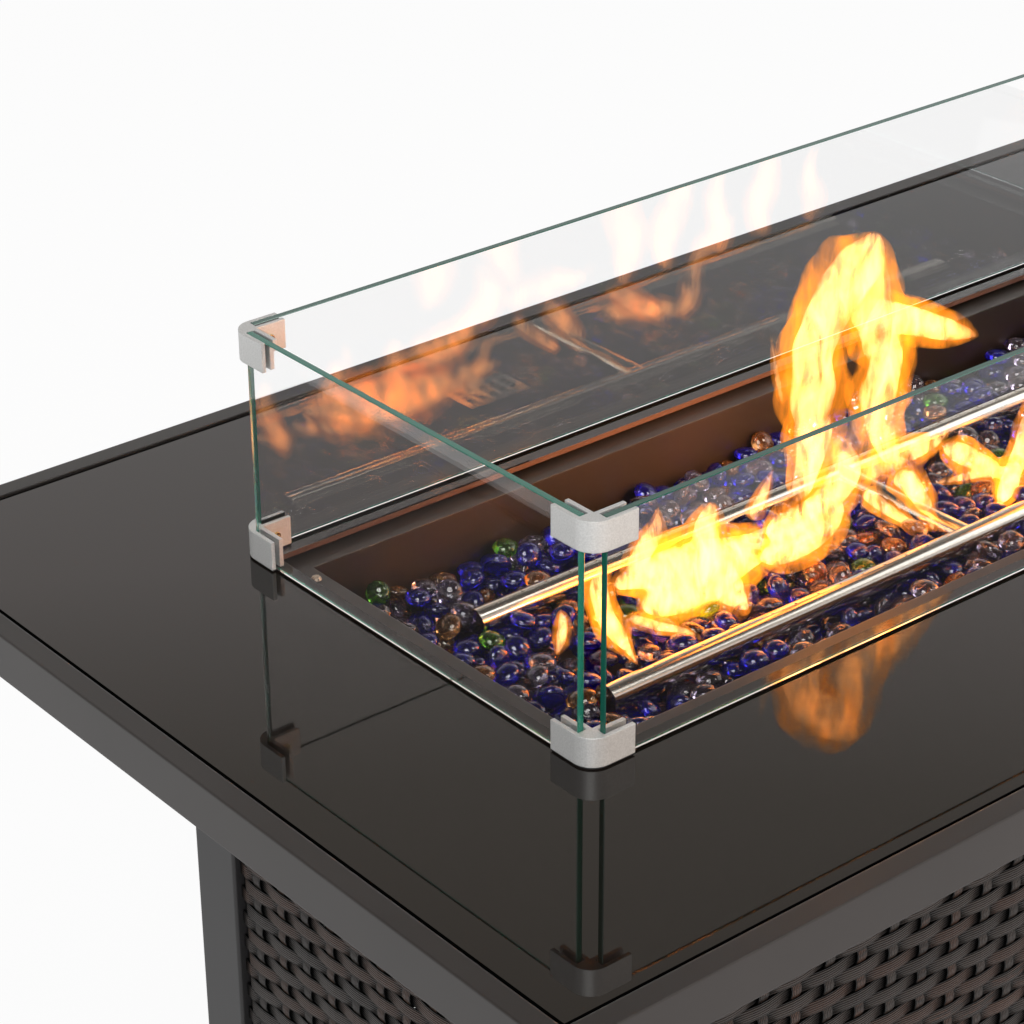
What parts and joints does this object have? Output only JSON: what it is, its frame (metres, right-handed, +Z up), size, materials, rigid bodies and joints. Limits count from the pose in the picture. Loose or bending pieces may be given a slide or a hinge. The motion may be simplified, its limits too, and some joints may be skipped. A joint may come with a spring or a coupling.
{
  "type": "gas fire pit table",
  "caption": "Rectangular gas fire pit table: dark glass top, sunk pan of glass beads, clamped clear wind guard, wicker base with a hinged door and levelling feet.",
  "frame": {"origin": "centre of the footprint on the floor, under the feet", "axes": "+Z up, +X along the length towards the door and the gas controls, -Y towards the front"},
  "size_m": [1.31, 0.762, 0.8001],
  "materials": {
    "rim_paint": "semi-gloss bronze powder coat",
    "frame_paint": "satin dark grey powder coat",
    "zinc_steel": "zinc plated",
    "pan_screw_steel": "blackened by heat",
    "dark_glass": "tempered, backed with dark enamel, mirror gloss",
    "clear_bumper": "clear soft bumper",
    "pan_paint": "heat resistant black",
    "burner_steel": "polished stainless steel",
    "brass": "machined brass",
    "air_mixer_aluminium": "cast aluminium",
    "electrode_ceramic": "white ceramic with a steel tip",
    "fire_glass": "flattened beads, mostly cobalt blue",
    "clear_glass": "clear tempered, polished green edges",
    "satin_aluminium": "satin extruded",
    "black_rubber": "matt",
    "black_plastic": "fine texture",
    "knob_plastic": "semi-gloss",
    "stem_steel": "satin",
    "wicker_resin": "ribbed resin strips, satin"
  },
  "bodies": {
    "table": {"rim_front": "rim_paint", "rim_back": "rim_paint", "rim_left": "rim_paint", "rim_right": "rim_paint", "support_rails": "frame_paint", "leg_front_left": "frame_paint", "leg_front_right": "frame_paint", "leg_back_left": "frame_paint", "leg_back_right": "frame_paint", "panel_frame_front": "frame_paint", "panel_frame_back": "frame_paint", "panel_frame_left": "frame_paint", "door_sill": "frame_paint", "bottle_shelf": "frame_paint", "control_panel": "frame_paint", "rim_corner_brackets": "zinc_steel", "rim_screws": "zinc_steel", "frame_bolts": "zinc_steel", "burner_lock_nut": "zinc_steel", "inlet_elbow": "zinc_steel", "pan_screws": "pan_screw_steel", "tabletop_glass": "dark_glass", "glass_pads": "clear_bumper", "burner_pan": "pan_paint", "burner": "burner_steel", "igniter_box": "burner_steel", "igniter_cover": "burner_steel", "feed_pipe": "burner_steel", "thermocouple": "burner_steel", "gas_orifice": "brass", "valve_body": "brass", "air_mixer": "air_mixer_aluminium", "spark_electrode": "electrode_ceramic", "fire_glass_bed": "fire_glass", "igniter_housing": "black_plastic", "magnet_catch": "black_plastic", "hinge_knuckles": "stem_steel", "wicker_front": "wicker_resin", "wicker_back": "wicker_resin", "wicker_left": "wicker_resin"},
    "wind_guard": {"guard_pane_front": "clear_glass", "guard_pane_back": "clear_glass", "guard_pane_left": "clear_glass", "guard_pane_right": "clear_glass", "guard_clamps_top": "satin_aluminium", "guard_clamps_bottom": "satin_aluminium", "guard_set_screws": "brass", "clamp_pads": "black_rubber"},
    "door": {"door_frame": "frame_paint", "door_wicker": "wicker_resin", "door_handle": "stem_steel", "hinge_pins": "stem_steel"},
    "knob_slide": {"stem_collar": "stem_steel"},
    "knob": {"control_knob": "knob_plastic", "valve_stem": "stem_steel"},
    "spark_button": {"igniter_button": "knob_plastic"},
    "front_left_foot": {"foot_front_left": "black_plastic"},
    "front_right_foot": {"foot_front_right": "black_plastic"},
    "back_left_foot": {"foot_back_left": "black_plastic"},
    "back_right_foot": {"foot_back_right": "black_plastic"}
  },
  "joints": [
    {"name": "wind_guard_lift", "type": "slide", "parent": "table", "child": "wind_guard", "axis": [0, 0, 1], "range_m": [0, 0.25]},
    {"name": "door_hinge", "type": "hinge", "parent": "table", "child": "door", "pos_m": [0.48, 0.2035, 0.285], "axis": [0, 0, 1], "range_deg": [0, 110]},
    {"name": "knob_push", "type": "slide", "parent": "table", "child": "knob_slide", "axis": [-1, 0, 0], "range_m": [0, 0.003], "stiffness_N_per_m": 2000},
    {"name": "knob_turn", "type": "hinge", "parent": "knob_slide", "child": "knob", "pos_m": [0.477, 0, 0.5488], "axis": [1, 0, 0], "range_deg": [0, 180]},
    {"name": "spark_press", "type": "slide", "parent": "table", "child": "spark_button", "axis": [-1, 0, 0], "range_m": [0, 0.004], "stiffness_N_per_m": 2500},
    {"name": "front_left_foot_screw", "type": "slide", "parent": "table", "child": "front_left_foot", "axis": [0, 0, -1], "range_m": [-0.004, 0.012]},
    {"name": "front_right_foot_screw", "type": "slide", "parent": "table", "child": "front_right_foot", "axis": [0, 0, -1], "range_m": [-0.004, 0.012]},
    {"name": "back_left_foot_screw", "type": "slide", "parent": "table", "child": "back_left_foot", "axis": [0, 0, -1], "range_m": [-0.004, 0.012]},
    {"name": "back_right_foot_screw", "type": "slide", "parent": "table", "child": "back_right_foot", "axis": [0, 0, -1], "range_m": [-0.004, 0.012]}
  ]
}
